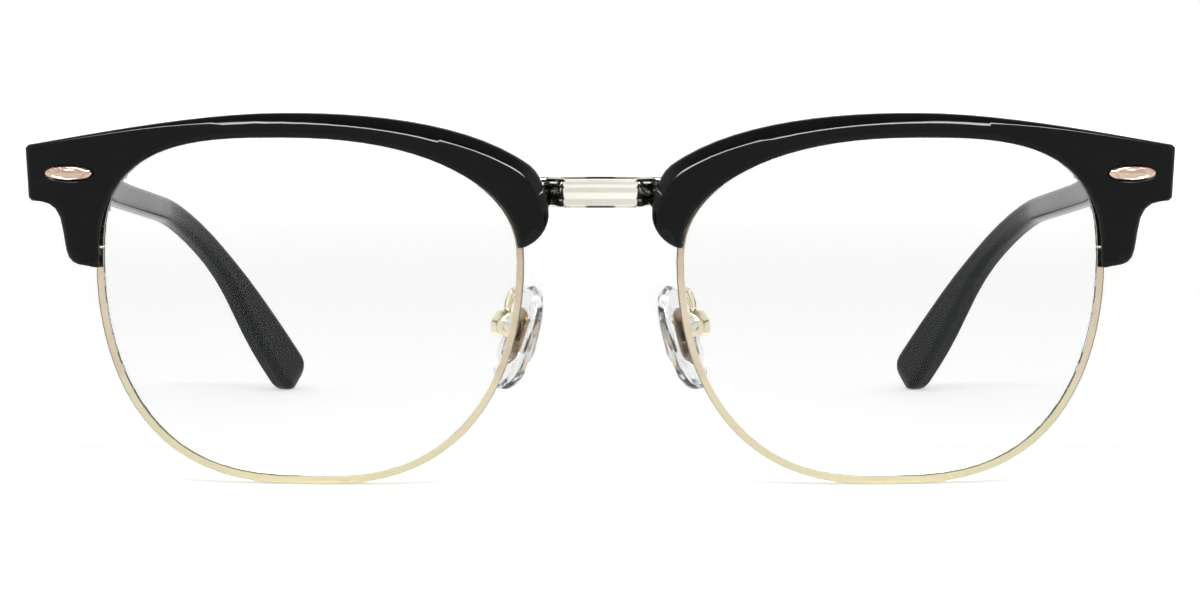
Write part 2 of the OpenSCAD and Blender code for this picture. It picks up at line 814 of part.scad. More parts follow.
// One closing block, from its meeting face upwards
module lock_block() {
  linear_extrude(lock_h)
    polygon([
      [-lock_w / 2, 0], [lock_w / 2, 0],
      [lock_w / 2, lock_d], [lock_bevel - lock_w / 2, lock_d]
    ]);
}

module lock_screw_hole() {
  translate([lock_screw_x, lock_screw_y, 0])
    cylinder(h = 4 * lock_h, r = screw_r + seat_gap, center = true);
}

module rim_lock_upper(side) {
  color([0.8, 0.74, 0.58])
    placed(side)
      lock_place()
        difference() {
          union() {
            translate([0, 0, rim_split / 2]) lock_block();
            translate([lock_w / 2 - ear_w, 0, rim_split / 2 + lock_h - eps])
              cube([ear_w, ear_t, ear_h]);
          }
          lock_screw_hole();
          translate([lock_screw_x, 0, ear_z])
            rotate([90, 0, 0])
              cylinder(h = 4 * ear_t, r = screw_r + seat_gap, center = true);
        }
}

module rim_lock_lower(side) {
  color([0.8, 0.74, 0.58])
    placed(side)
      lock_place()
        difference() {
          translate([0, 0, -rim_split / 2 - lock_h]) lock_block();
          lock_screw_hole();
        }
}

module rim_screws() {
  color([0.8, 0.79, 0.76])
    for (side = [LEFT, RIGHT])
      placed(side)
        lock_place()
          translate([lock_screw_x, lock_screw_y, -rim_split / 2 - lock_h - eps])
            rotate([180, 0, 0])
              screw(lock_screw_l);
}

// Screws that hold the metal to the brow bar: through the ear and through the bridge foot
module leg_screw_place() {
  lock_place()
    translate([lock_screw_x, ear_t, ear_z])
      rotate([-90, 0, 0])
        children();
}

nose_screw_x = lobe_x + 2.6;
nose_screw_seat = 0.6;

module nose_screw_place() {
  translate([nose_screw_x, lobe_back(nose_screw_x) + bridge_t - nose_screw_seat, bridge_z])
    rotate([0, 0, turn_at(nose_screw_x)])
      rotate([-90, 0, 0])
        children();
}

module brow_screw_places() {
  leg_screw_place() translate([0, 0, -ear_t]) children();
  nose_screw_place() translate([0, 0, -bridge_t + nose_screw_seat]) children();
}

module brow_screws() {
  color([0.8, 0.79, 0.76])
    for (side = [LEFT, RIGHT])
      placed(side) {
        leg_screw_place() translate([0, 0, eps]) screw(ear_t + brow_screw_l);
        nose_screw_place() translate([0, 0, eps]) screw(bridge_t - nose_screw_seat + brow_screw_l);
      }
}

// ---- Nose pads ----------------------------------------------------------------------------
// Pad frame: origin on the pivot, Z along the pad, Y along the pivot screw, -X to the nose

box_l = 3.2;
box_w = 3;
box_in = 1.25;
box_out = 1.4;
cheek = 0.65;
stem_w = box_w - 2 * cheek - 0.2;
stem_r = 0.8;
neck_l = 1.1;
pad_gap = 0.5;
pad_back = 0.8;
pad_mid = -box_in - pad_gap - pad_back;
pad_drop = 1;
insert_l = 7.6;
insert_w = 4;
insert_t = 0.6;
PAD_SIDES = 24;
PAD_LAYERS = [-84, -66, -46, -24, 0, 24, 46, 66, 84];

module pad_place() {
  translate([pad_x, pad_y, pad_z])
    rotate([0, -pad_lean, -pad_splay])
      children();
}

// Rounded egg outline, a little wider at its lower end
function pad_outline(a) =
  let (z = sign(cos(a)) * pow(abs(cos(a)), 0.86), y = sign(sin(a)) * pow(abs(sin(a)), 0.86))
  [pad_w / 2 * y * (1 - 0.1 * z), pad_l / 2 * z];

function pad_ring(layer) =
  let (
    depth = (layer > 0 ? pad_t - pad_back : pad_back) * sin(layer),
    size = pow(cos(layer), 0.45)
  )
  [
    for (i = [0:PAD_SIDES - 1])
      let (p = pad_outline(360 * i / PAD_SIDES) * size)
      [pad_mid - depth, p[0], p[1] - pad_drop]
  ];

// Flat with round ends, long along Z, its middle at x
module stadium(x, length, width, thick) {
  translate([x - thick / 2, 0, -pad_drop])
    rotate([90, 0, 90])
      linear_extrude(thick) {
        square([width, length - width], center = true);
        for (end = [-1, 1])
          translate([0, end * (length - width) / 2])
            circle(d = width);
      }
}

module insert_core(gap) {
  stadium(pad_mid, insert_l + 2 * gap, insert_w + 2 * gap, insert_t + 2 * gap);
  translate([pad_mid, -stem_w / 2 - gap, -neck_l / 2 - gap])
    cube([-pad_mid, stem_w + 2 * gap, neck_l + 2 * gap]);
}

module nose_pad(side) {
  color([0.86, 0.87, 0.84, 0.6])
    placed(side)
      pad_place()
        difference() {
          skin([for (layer = reversed(PAD_LAYERS)) pad_ring(layer)]);
          insert_core(seat_gap);
        }
}

module pad_insert(side) {
  color([0.8, 0.62, 0.28])
    placed(side)
      pad_place()
        difference() {
          union() {
            insert_core(0);
            rotate([90, 0, 0]) cylinder(h = stem_w, r = stem_r, center = true);
          }
          rotate([90, 0, 0]) cylinder(h = 2 * stem_w, r = screw_r + run_fit, center = true);
        }
}

// Domed cup that holds the stem of the pad between its two cheeks
module pad_box(side) {
  dome_r = 2.7;
  color([0.84, 0.79, 0.66])
    placed(side)
      pad_place()
        difference() {
          intersection() {
            translate([-box_in, -box_w / 2, -box_l / 2]) cube([box_in + box_out, box_w, box_l]);
            translate([box_out - dome_r, 0, 0]) sphere(dome_r, $fn = 48);
          }
          translate([-box_in - 1, -box_w / 2 + cheek, -box_l / 2 + 0.3])
            cube([1 + box_in + stem_r + 0.12, box_w - 2 * cheek, box_l - 0.6]);
          rotate([90, 0, 0]) cylinder(h = 2 * box_w, r = screw_r + seat_gap, center = true);
        }
}

module pad_screws() {
  color([0.8, 0.79, 0.76])
    for (side = [LEFT, RIGHT])
      placed(side)
        pad_place()
          translate([0, -box_w / 2 - eps, 0])
            rotate([90, 0, 0])
              screw(box_w);
}

// Gooseneck wire from the back of the eyewire up, over and down to the pad box
ARM_Q = 2.13;
ARM_RINGS = 22;
ARM_SIDES = 8;

module pad_arm(side) {
  start = outline_at(ARM_Q, rim_w / 2);
  from = [start[0], sag(start) + rim_back + seat_gap, start[1]];
  up = [-sin(pad_lean) * cos(pad_splay), sin(pad_lean) * sin(pad_splay), cos(pad_lean)];
  to = [pad_x, pad_y, pad_z] + up * (box_l / 2 + seat_gap);
  path = [from, from + [-0.45, 6.5, 1.8], to + up * 4.6 + [0.9, 0.3, 0], to];
  color([0.84, 0.79, 0.66])
    placed(side)
      skin([
        for (i = [0:ARM_RINGS])
          let (
            u = i / ARM_RINGS,
            p = bezier(path, u),
            t = i == 0 ? [0, 1, 0] : i == ARM_RINGS ? -up
              : unit(bezier(path, u + 0.01) - bezier(path, u - 0.01)),
            a = unit(cross(t, [1, 0, 0])),
            b = cross(t, a)
          )
          [
            for (j = [0:ARM_SIDES - 1])
              p + arm_r * (cos(360 * j / ARM_SIDES) * a - sin(360 * j / ARM_SIDES) * b)
          ]
      ]);
}

// ---- Parts -----------------------------------------------------------------------------------

brow(LEFT);  // brow_left
brow(RIGHT);  // brow_right
rim(LEFT);  // rim_left
rim(RIGHT);  // rim_right
lens(LEFT);  // lens_left
lens(RIGHT);  // lens_right
bridge();
rim_lock_upper(LEFT);  // rim_lock_upper_left
rim_lock_upper(RIGHT);  // rim_lock_upper_right
rim_lock_lower(LEFT);  // rim_lock_lower_left
rim_lock_lower(RIGHT);  // rim_lock_lower_right
rim_screws();
brow_screws();
pad_arm(LEFT);  // pad_arm_left
pad_arm(RIGHT);  // pad_arm_right
pad_box(LEFT);  // pad_box_left
pad_box(RIGHT);  // pad_box_right
pad_screws();
nose_pad(LEFT);  // nose_pad_left
nose_pad(RIGHT);  // nose_pad_right
pad_insert(LEFT);  // pad_insert_left
pad_insert(RIGHT);  // pad_insert_right
rivet_shield(LEFT);  // rivet_shield_left
rivet_shield(RIGHT);  // rivet_shield_right
hinge_front(LEFT);  // hinge_front_left
hinge_front(RIGHT);  // hinge_front_right
hinge_temple(LEFT);  // hinge_temple_left
hinge_temple(RIGHT);  // hinge_temple_right
hinge_screws();
temple(LEFT);  // temple_left
temple(RIGHT);  // temple_right
core_wire(LEFT);  // core_wire_left
core_wire(RIGHT);  // core_wire_right
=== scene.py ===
"""Finishes, softened edges and studio for the half rim eyeglasses.

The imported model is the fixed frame. Each visible solid is copied, welded, softened at
its edges and given the finish that its material has on the real frame.
Lengths are in metres, in the same frame as the solids: +X is the wearer's left, the
front faces -Y and +Z is up.
"""

import logging
import math
from collections.abc import Callable
from dataclasses import dataclass, field
from enum import Enum

import bmesh
import bpy
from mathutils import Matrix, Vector
from mathutils.bvhtree import BVHTree


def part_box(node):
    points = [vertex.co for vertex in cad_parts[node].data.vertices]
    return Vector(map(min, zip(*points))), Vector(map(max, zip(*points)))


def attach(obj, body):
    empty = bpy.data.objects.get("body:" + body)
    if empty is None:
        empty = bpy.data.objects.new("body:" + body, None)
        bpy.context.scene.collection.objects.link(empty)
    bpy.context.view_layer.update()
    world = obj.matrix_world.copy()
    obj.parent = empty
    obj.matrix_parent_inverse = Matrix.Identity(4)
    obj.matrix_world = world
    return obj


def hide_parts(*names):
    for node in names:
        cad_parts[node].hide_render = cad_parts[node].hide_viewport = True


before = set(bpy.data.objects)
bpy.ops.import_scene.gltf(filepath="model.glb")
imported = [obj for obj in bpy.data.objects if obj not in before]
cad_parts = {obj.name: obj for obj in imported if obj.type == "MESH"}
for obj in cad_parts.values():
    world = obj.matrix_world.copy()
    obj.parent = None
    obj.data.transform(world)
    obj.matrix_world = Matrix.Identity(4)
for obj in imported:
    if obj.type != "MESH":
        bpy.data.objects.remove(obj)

LOG = logging.getLogger("eyeglasses")
MM = 0.001
Color = tuple[float, float, float]


class Side(Enum):
    """The wearer's side of the frame that a paired piece belongs to."""

    LEFT = "left"
    RIGHT = "right"

    def node(self, stem: str) -> str:
        """Name of the paired solid on this side."""
        return f"{stem}_{self.value}"


class Slot(Enum):
    """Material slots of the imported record."""

    ACETATE = "acetate"
    EYEWIRE = "eyewire"
    LENS = "lens"
    BRIDGE = "bridge"
    SCREWS = "screws"
    PAD_METAL = "pad_metal"
    PAD_SILICONE = "pad_silicone"
    PAD_INSERT = "pad_insert"
    SHIELD = "shield"
    HINGE = "hinge"
    CORE_WIRE = "core_wire"


# ---- Shader building blocks ------------------------------------------------------------


class NodeTree:
    """Thin helper that adds, sets and links nodes in one tree."""

    def __init__(self, tree: bpy.types.NodeTree) -> None:
        """Keeps the tree.

        Args:
            tree: The node tree to work in.
        """
        self.tree = tree

    def add(self, kind: str, **settings: object) -> bpy.types.Node:
        """Adds a node.

        Args:
            kind: Blender's node type name.
            settings: Attributes to set on the node.

        Returns:
            The new node.
        """
        node = self.tree.nodes.new(kind)
        for name, value in settings.items():
            setattr(node, name, value)
        return node

    def link(self, source: bpy.types.NodeSocket, target: bpy.types.NodeSocket) -> None:
        """Links one socket to another."""
        self.tree.links.new(source, target)

    def feed(self, target: bpy.types.NodeSocket, value: object) -> None:
        """Links value to the target if it is a socket, and otherwise sets it."""
        if isinstance(value, bpy.types.NodeSocket):
            self.link(value, target)
        else:
            target.default_value = value

    def math(self, operation: str, *values: object) -> bpy.types.NodeSocket:
        """Adds a Math node.

        Args:
            operation: Blender's operation name.
            values: Sockets or numbers for its inputs, in order.

        Returns:
            The node's output socket.
        """
        node = self.add("ShaderNodeMath", operation=operation)
        for target, value in zip(node.inputs, values):
            self.feed(target, value)
        return node.outputs[0]

    def span(
        self, value: object, low: float, high: float, to_low: float, to_high: float
    ) -> bpy.types.NodeSocket:
        """Maps a value smoothly from one range to another.

        Args:
            value: Socket to map.
            low: Start of the input range.
            high: End of the input range.
            to_low: Result at the start.
            to_high: Result at the end.

        Returns:
            The mapped value's socket.
        """
        node = self.add("ShaderNodeMapRange", interpolation_type="SMOOTHSTEP")
        for target, number in zip(node.inputs, (value, low, high, to_low, to_high)):
            self.feed(target, number)
        return node.outputs[0]

    def noise(
        self, scale: float, detail: float = 3.0, stretch: Color = (1.0, 1.0, 1.0)
    ) -> bpy.types.NodeSocket:
        """Noise on Object coordinates.

        Args:
            scale: Cells per metre.
            detail: Octaves of finer noise.
            stretch: Scale along each axis, to draw the noise out into streaks.

        Returns:
            The noise's value, about 0.5 on average.
        """
        place = self.add("ShaderNodeTexCoord")
        mapping = self.add("ShaderNodeMapping")
        mapping.inputs["Scale"].default_value = stretch
        noise = self.add("ShaderNodeTexNoise")
        noise.inputs["Scale"].default_value = scale
        noise.inputs["Detail"].default_value = detail
        self.link(place.outputs["Object"], mapping.inputs["Vector"])
        self.link(mapping.outputs["Vector"], noise.inputs["Vector"])
        return noise.outputs[0]

    def place_axis(self, axis: str) -> bpy.types.NodeSocket:
        """One coordinate of the place on the piece, in metres."""
        split = self.add("ShaderNodeSeparateXYZ")
        self.link(self.add("ShaderNodeTexCoord").outputs["Object"], split.inputs[0])
        return split.outputs[axis]

    def facing_axis(self, axis: str) -> bpy.types.NodeSocket:
        """One coordinate of the way that the surface faces."""
        split = self.add("ShaderNodeSeparateXYZ")
        self.link(self.add("ShaderNodeTexCoord").outputs["Normal"], split.inputs[0])
        return split.outputs[axis]

    def mix(self, factor: object, first: object, second: object) -> bpy.types.NodeSocket:
        """Mixes two colours.

        Args:
            factor: Share of the second colour.
            first: Colour or socket.
            second: Colour or socket.

        Returns:
            The mixed colour's socket.
        """
        node = self.add("ShaderNodeMix", data_type="RGBA")
        self.feed(node.inputs[0], factor)
        for target, value in ((node.inputs[6], first), (node.inputs[7], second)):
            self.feed(target, (*value, 1.0) if isinstance(value, tuple) else value)
        return node.outputs[2]


class SharedEffect:
    """A node group that several finishes use, built once and placed with its own values."""

    def __init__(self, name: str, inputs: dict[str, float], outputs: dict[str, str]) -> None:
        """Makes the group's sockets.

        Args:
            name: Name of the group.
            inputs: Value inputs and their defaults.
            outputs: Outputs and their socket types.
        """
        self.tree = bpy.data.node_groups.new(name, "ShaderNodeTree")
        for label, value in inputs.items():
            socket = self.tree.interface.new_socket(label, in_out="INPUT", socket_type="NodeSocketFloat")
            socket.default_value = value
        for label, kind in outputs.items():
            self.tree.interface.new_socket(label, in_out="OUTPUT", socket_type=kind)
        self.nodes = NodeTree(self.tree)
        self.inputs = self.nodes.add("NodeGroupInput").outputs
        self.outputs = self.nodes.add("NodeGroupOutput").inputs
        self.draw()

    def draw(self) -> None:
        """Fills the group; each effect says how."""
        raise NotImplementedError

    def place(self, nodes: NodeTree, **values: object) -> bpy.types.NodeOutputs:
        """Places the group in a material.

        Args:
            nodes: The material's nodes.
            values: Input values by name, with _ for a space.

        Returns:
            The placed group's outputs.
        """
        group = nodes.add("ShaderNodeGroup")
        group.node_tree = self.tree
        for label, value in values.items():
            nodes.feed(group.inputs[label.replace("_", " ")], value)
        return group.outputs


class EdgeWear(SharedEffect):
    """Mask that is 1 on worn outer edges, broken up by noise."""

    def __init__(self) -> None:
        """Names the group's sockets."""
        super().__init__("edge_wear", {"Amount": 0.5, "Breakup": 900.0}, {"Mask": "NodeSocketFloat"})

    def draw(self) -> None:
        """Keeps the sharpest convex places and breaks them up."""
        edge = self.nodes.add("ShaderNodeNewGeometry").outputs["Pointiness"]
        place = self.nodes.add("ShaderNodeTexCoord")
        noise = self.nodes.add("ShaderNodeTexNoise")
        noise.inputs["Detail"].default_value = 4.0
        self.nodes.link(place.outputs["Object"], noise.inputs["Vector"])
        self.nodes.link(self.inputs["Breakup"], noise.inputs["Scale"])
        sharp = self.nodes.span(edge, 0.5, 0.6, 0.0, 1.0)
        broken = self.nodes.span(noise.outputs[0], 0.35, 0.65, 0.3, 1.0)
        mask = self.nodes.math("MULTIPLY", sharp, broken)
        self.nodes.link(self.nodes.math("MULTIPLY", mask, self.inputs["Amount"]), self.outputs["Mask"])


class PolishMarks(SharedEffect):
    """Fine lines and haze that a polishing wheel and a cloth leave."""

    def __init__(self) -> None:
        """Names the group's sockets."""
        super().__init__(
            "polish_marks",
            {"Scale": 1.0, "Haze": 0.05, "Base": 0.15},
            {"Roughness": "NodeSocketFloat", "Height": "NodeSocketFloat"},
        )

    def draw(self) -> None:
        """Crosses two sets of drawn-out noise for the lines, and clouds for the haze."""
        place = self.nodes.add("ShaderNodeTexCoord").outputs["Object"]
        lines = []
        for turn, stretch in ((0.5, (2500.0, 2500.0, 160.0)), (-0.7, (160.0, 2500.0, 2500.0))):
            mapping = self.nodes.add("ShaderNodeMapping")
            mapping.inputs["Rotation"].default_value = (0.0, turn, turn / 2)
            mapping.inputs["Scale"].default_value = stretch
            noise = self.nodes.add("ShaderNodeTexNoise")
            noise.inputs["Detail"].default_value = 2.0
            self.nodes.link(place, mapping.inputs["Vector"])
            self.nodes.link(mapping.outputs["Vector"], noise.inputs["Vector"])
            self.nodes.link(self.inputs["Scale"], noise.inputs["Scale"])
            lines.append(self.nodes.span(noise.outputs[0], 0.6, 0.75, 0.0, 1.0))
        both = self.nodes.math("MAXIMUM", *lines)
        cloud = self.nodes.span(self.nodes.noise(140.0), 0.3, 0.7, 0.0, 1.0)
        haze = self.nodes.math("MULTIPLY", self.nodes.math("ADD", cloud, both), self.inputs["Haze"])
        self.nodes.link(self.nodes.math("ADD", haze, self.inputs["Base"]), self.outputs["Roughness"])
        self.nodes.link(both, self.outputs["Height"])


class PlatingTone(SharedEffect):
    """Slow change of tone over a plated surface, with small spots where it is thinner."""

    def __init__(self) -> None:
        """Names the group's sockets."""
        super().__init__(
            "plating_tone", {"Scale": 60.0}, {"Tone": "NodeSocketFloat", "Spots": "NodeSocketFloat"}
        )

    def draw(self) -> None:
        """Clouds for the tone, and the peaks of finer noise for the spots."""
        place = self.nodes.add("ShaderNodeTexCoord").outputs["Object"]
        for factor, low, high, output in ((1.0, 0.3, 0.7, "Tone"), (30.0, 0.66, 0.8, "Spots")):
            noise = self.nodes.add("ShaderNodeTexNoise")
            noise.inputs["Detail"].default_value = 3.0
            self.nodes.link(place, noise.inputs["Vector"])
            scale = self.nodes.math("MULTIPLY", self.inputs["Scale"], factor)
            self.nodes.link(scale, noise.inputs["Scale"])
            self.nodes.link(self.nodes.span(noise.outputs[0], low, high, 0.0, 1.0), self.outputs[output])


@dataclass(frozen=True)
class Effects:
    """The shared node groups."""

    wear: EdgeWear = field(default_factory=EdgeWear)
    marks: PolishMarks = field(default_factory=PolishMarks)
    tone: PlatingTone = field(default_factory=PlatingTone)


# ---- Finishes ----------------------------------------------------------------------------

REFLECTION_SPLIT_BLEND = 1.5 * MM  # half the height over which the plated tone turns into the painted reflection's tone of the lower part
WALL_REFLECTION_TURN = (0.5, 0.85)  # sideways part of the facing at which the painted dark reflection on walls starts and is full
GROOVE_REFLECTION_TURN = (0.3, 0.7)  # the same for the painted dark reflection on the slopes of grooves, by their upwards part
GROOVE_REFLECTION_REST = 0.25  # share of the painted dark reflection in grooves that is left away from the middle

@dataclass(frozen=True)
class Finish:
    """A surface finish. Each kind fills in its own nodes."""

    name: str
    slot: Slot

    def material(self, effects: Effects) -> bpy.types.Material:
        """Makes the material.

        Args:
            effects: The shared node groups.

        Returns:
            The finished material.
        """
        material = bpy.data.materials.new(self.name)
        material.use_nodes = True
        nodes = NodeTree(material.node_tree)
        shader = material.node_tree.nodes["Principled BSDF"]
        self.dress(nodes, shader, effects)
        return material

    def dress(self, nodes: NodeTree, shader: bpy.types.Node, effects: Effects) -> None:
        """Sets the shader's sockets; each finish says how.

        Args:
            nodes: The material's nodes.
            shader: Its Principled BSDF.
            effects: The shared node groups.
        """
        raise NotImplementedError

    @staticmethod
    def bump(nodes: NodeTree, shader: bpy.types.Node, height: bpy.types.NodeSocket, depth: float) -> None:
        """Raises the surface by a height that reaches depth in metres."""
        bump = nodes.add("ShaderNodeBump")
        bump.inputs["Strength"].default_value = 1.0
        bump.inputs["Distance"].default_value = depth
        nodes.link(height, bump.inputs["Height"])
        nodes.link(bump.outputs["Normal"], shader.inputs["Normal"])


@dataclass(frozen=True)
class AcetateFinish(Finish):
    """Polished black acetate: very dark, glossy, with a soft haze and rubbed edges."""

    body: Color = (0.0022, 0.0028, 0.0034)
    rubbed: Color = (0.012, 0.014, 0.015)
    roughness: float = 0.07
    specular: float = 0.175
    polish: tuple[float, float] = (0.0, 0.0)
    haze: float = 0.04
    relief: float = 0.0004 * MM

    def dress(self, nodes: NodeTree, shader: bpy.types.Node, effects: Effects) -> None:
        """Near-black body with rubbed edges under a polish that may fade from front to back."""
        marks = effects.marks.place(nodes, Haze=self.haze, Base=self.roughness)
        worn = effects.wear.place(nodes, Amount=0.6, Breakup=500.0)["Mask"]
        nodes.link(nodes.mix(worn, self.body, self.rubbed), shader.inputs["Base Color"])
        nodes.link(marks["Roughness"], shader.inputs["Roughness"])
        shader.inputs["Specular IOR Level"].default_value = self.specular
        shader.inputs["IOR"].default_value = 1.48
        if any(self.polish):
            front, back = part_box("temple_left")
            along = nodes.place_axis("Y")
            middle = 0.5 * (front.y + back.y)
            nodes.link(nodes.span(along, front.y, middle, *self.polish), shader.inputs["Coat Weight"])
            shader.inputs["Coat Roughness"].default_value = self.roughness
        self.bump(nodes, shader, marks["Height"], self.relief)


@dataclass(frozen=True)
class PlatedFinish(Finish):
    """Plated metal with a slow change of tone, bright edges and fine polishing lines."""

    light: Color = (0.86, 0.79, 0.62)
    deep: Color = (0.74, 0.66, 0.47)
    roughness: float = 0.16
    haze: float = 0.08
    wear: float = 0.5
    # painted reflection: colour of the part below split, brighter for the light that it mirrors, not a
    # second plated tone
    low: Color | None = None
    split: float = 0.0
    # painted dark reflection: walls that face sideways are drawn dark for the dark surroundings that they
    # mirror
    painted_wall_reflection: Color | None = None
    # painted dark reflection: the middle of the grooves is drawn near black where they mirror dark
    # surroundings
    painted_groove_reflection: Color | None = None
    groove_reflection_half: float = 1.0

    def dress(self, nodes: NodeTree, shader: bpy.types.Node, effects: Effects) -> None:
        """Plated tone that changes at random and is brighter where rubbed, with painted reflections: a
        brighter painted reflection below a height, and dark painted reflections on sideways walls and in
        grooves.
        """
        tone = effects.tone.place(nodes, Scale=60.0)
        marks = effects.marks.place(nodes, Haze=self.haze, Base=self.roughness)
        worn = effects.wear.place(nodes, Amount=self.wear)["Mask"]
        rubbed = tuple(min(1.0, 1.08 * c) for c in self.light)
        plating_and_painted_light = nodes.mix(tone["Tone"], self.light, self.deep)
        # Below split the colour is a painted reflection: the lower part is drawn brighter for the light
        # that it mirrors.
        if self.low:
            bottom, top = self.split - REFLECTION_SPLIT_BLEND, self.split + REFLECTION_SPLIT_BLEND
            height = nodes.span(nodes.place_axis("Z"), bottom, top, 0.0, 1.0)
            plating_and_painted_light = nodes.mix(height, self.low, plating_and_painted_light)
        plating_and_painted_light = nodes.mix(worn, plating_and_painted_light, rubbed)
        # Walls that face sideways are painted dark: a painted reflection of the dark surroundings, not a
        # tone of the plated metal.
        if self.painted_wall_reflection:
            sideways = nodes.math("ABSOLUTE", nodes.facing_axis("X"))
            plating_and_painted_light = nodes.mix(nodes.span(sideways, *WALL_REFLECTION_TURN, 0.0, 1.0), plating_and_painted_light, self.painted_wall_reflection)
        # The slopes of the grooves near the middle are painted dark: a painted reflection, not a fill in
        # the grooves.
        if self.painted_groove_reflection:
            tilted = nodes.span(nodes.math("ABSOLUTE", nodes.facing_axis("Z")), *GROOVE_REFLECTION_TURN, 0.0, 1.0)
            across = nodes.math("ABSOLUTE", nodes.place_axis("X"))
            fade = 1.4 * self.groove_reflection_half
            middle = nodes.span(across, self.groove_reflection_half, fade, 1.0, GROOVE_REFLECTION_REST)
            plating_and_painted_light = nodes.mix(nodes.math("MULTIPLY", tilted, middle), plating_and_painted_light, self.painted_groove_reflection)
        nodes.link(plating_and_painted_light, shader.inputs["Base Color"])
        shader.inputs["Metallic"].default_value = 1.0
        rough = nodes.math("ADD", marks["Roughness"], nodes.math("MULTIPLY", tone["Spots"], 0.1))
        nodes.link(rough, shader.inputs["Roughness"])
        self.bump(nodes, shader, marks["Height"], 0.0006 * MM)


@dataclass(frozen=True)
class LensFinish(Finish):
    """Clear coated resin that lets lamps through to what is behind it."""

    tint: Color = (0.99, 0.997, 0.993)
    ior: float = 1.02
    coating: float = 0.2

    def dress(self, nodes: NodeTree, shader: bpy.types.Node, effects: Effects) -> None:
        """Clear transmission with a wiped-on haze, and no shadow from lamps."""
        marks = effects.marks.place(nodes, Haze=0.006, Base=0.0)
        nodes.link(marks["Roughness"], shader.inputs["Roughness"])
        shader.inputs["Base Color"].default_value = (*self.tint, 1.0)
        shader.inputs["Transmission Weight"].default_value = 1.0
        shader.inputs["IOR"].default_value = self.ior
        shader.inputs["Coat Weight"].default_value = self.coating
        clear_shadows(nodes, shader, 0.98)


@dataclass(frozen=True)
class SiliconeFinish(Finish):
    """Clear soft silicone, a little cloudy, with a satin skin."""

    tint: Color = (0.86, 0.87, 0.88)
    roughness: float = 0.02

    def dress(self, nodes: NodeTree, shader: bpy.types.Node, effects: Effects) -> None:
        """Cloudy transmission under a satin skin."""
        cloud = nodes.span(nodes.noise(300.0), 0.3, 0.7, 0.0, 1.0)
        yellowed = tuple(0.93 * c for c in self.tint)
        nodes.link(nodes.mix(cloud, self.tint, yellowed), shader.inputs["Base Color"])
        satin = nodes.span(nodes.noise(900.0), 0.3, 0.7, self.roughness, self.roughness + 0.05)
        nodes.link(satin, shader.inputs["Roughness"])
        shader.inputs["Transmission Weight"].default_value = 0.97
        shader.inputs["IOR"].default_value = 1.41
        clear_shadows(nodes, shader, 0.8)


def clear_shadows(nodes: NodeTree, shader: bpy.types.Node, share: float) -> None:
    """Lets lamps shine through a clear material instead of casting a solid shadow.

    Args:
        nodes: The material's nodes.
        shader: Its Principled BSDF.
        share: Share of the light that passes.
    """
    output = nodes.tree.nodes["Material Output"]
    path = nodes.add("ShaderNodeLightPath")
    through = nodes.add("ShaderNodeBsdfTransparent")
    through.inputs["Color"].default_value = (share, share, share, 1.0)
    switch = nodes.add("ShaderNodeMixShader")
    nodes.link(path.outputs["Is Shadow Ray"], switch.inputs[0])
    nodes.link(shader.outputs[0], switch.inputs[1])
    nodes.link(through.outputs[0], switch.inputs[2])
    nodes.link(switch.outputs[0], output.inputs["Surface"])


ACETATE = AcetateFinish("black_acetate", Slot.ACETATE)
TEMPLE_ACETATE = AcetateFinish(
    "temple_acetate",
    Slot.ACETATE,
    body=(0.006, 0.0082, 0.0088),
    rubbed=(0.0075, 0.0095, 0.01),
    roughness=0.16,
    specular=0.05,
    polish=(1.0, 0.08),
    haze=0.01,
    relief=0.00001 * MM,
)
EYEWIRE = PlatedFinish(
    "champagne_plating",
    Slot.EYEWIRE,
    light=(0.66, 0.56, 0.42),
    deep=(0.56, 0.47, 0.34),
    # painted reflection: the brighter tone of the eyewire's lower part
    low=(0.68, 0.64, 0.42),
    split=13.6 * MM,
    # painted dark reflection on the eyewire's sideways walls
    painted_wall_reflection=(0.16, 0.14, 0.08),
)
LENS = LensFinish("clear_lens", Slot.LENS)
BRIDGE = PlatedFinish(
    "pale_gold_polish",
    Slot.BRIDGE,
    light=(0.9, 0.88, 0.8),
    deep=(0.82, 0.79, 0.7),
    roughness=0.06,
    haze=0.04,
    # painted dark reflection in the middle of the rib grooves
    painted_groove_reflection=(0.03, 0.03, 0.025),
    groove_reflection_half=1.5 * MM,
)
SCREW = PlatedFinish(
    "turned_steel", Slot.SCREWS, light=(0.75, 0.74, 0.7), deep=(0.6, 0.59, 0.56), roughness=0.22
)
PAD_METAL = PlatedFinish(
    "pad_arm_plating", Slot.PAD_METAL, light=(0.85, 0.78, 0.6), deep=(0.7, 0.62, 0.44), roughness=0.12
)
SILICONE = SiliconeFinish("clear_silicone", Slot.PAD_SILICONE)
INSERT = PlatedFinish(
    "pad_insert_brass", Slot.PAD_INSERT, light=(0.5, 0.3, 0.08), deep=(0.16, 0.09, 0.03), roughness=0.2
)
SHIELD = PlatedFinish(
    "rose_polish", Slot.SHIELD, light=(0.72, 0.53, 0.44), deep=(0.6, 0.43, 0.35), roughness=0.1
)
HINGE = PlatedFinish(
    "satin_nickel", Slot.HINGE, light=(0.7, 0.68, 0.63), deep=(0.58, 0.56, 0.51), roughness=0.24
)
CORE_WIRE = PlatedFinish(
    "drawn_wire", Slot.CORE_WIRE, light=(0.68, 0.66, 0.6), deep=(0.55, 0.53, 0.48), roughness=0.3
)


class Faces(Enum):
    """How a copied solid's triangles are joined into larger faces."""

    FLAT = "flat areas become single faces"
    LOFTED = "pairs of triangles become four-sided faces"
    KEPT = "triangles are kept"


def any_edge(edge: bmesh.types.BMEdge) -> bool:
    """Every edge may be rounded."""
    return True


@dataclass(frozen=True)
class Cut:
    """How a piece's faces and edges are worked: widths in metres, angles in degrees."""

    faces: Faces = Faces.FLAT
    edge: float = 0.05 * MM
    sharp: float = 40.0
    smooth: float = 40.0
    rounds: int = 2
    chosen: Callable[[bmesh.types.BMEdge], bool] = any_edge


# ---- Workbench ------------------------------------------------------------------------------

STRAY_SHARE = 0.8  # of a rounding's width; no true corner is cut deeper than this

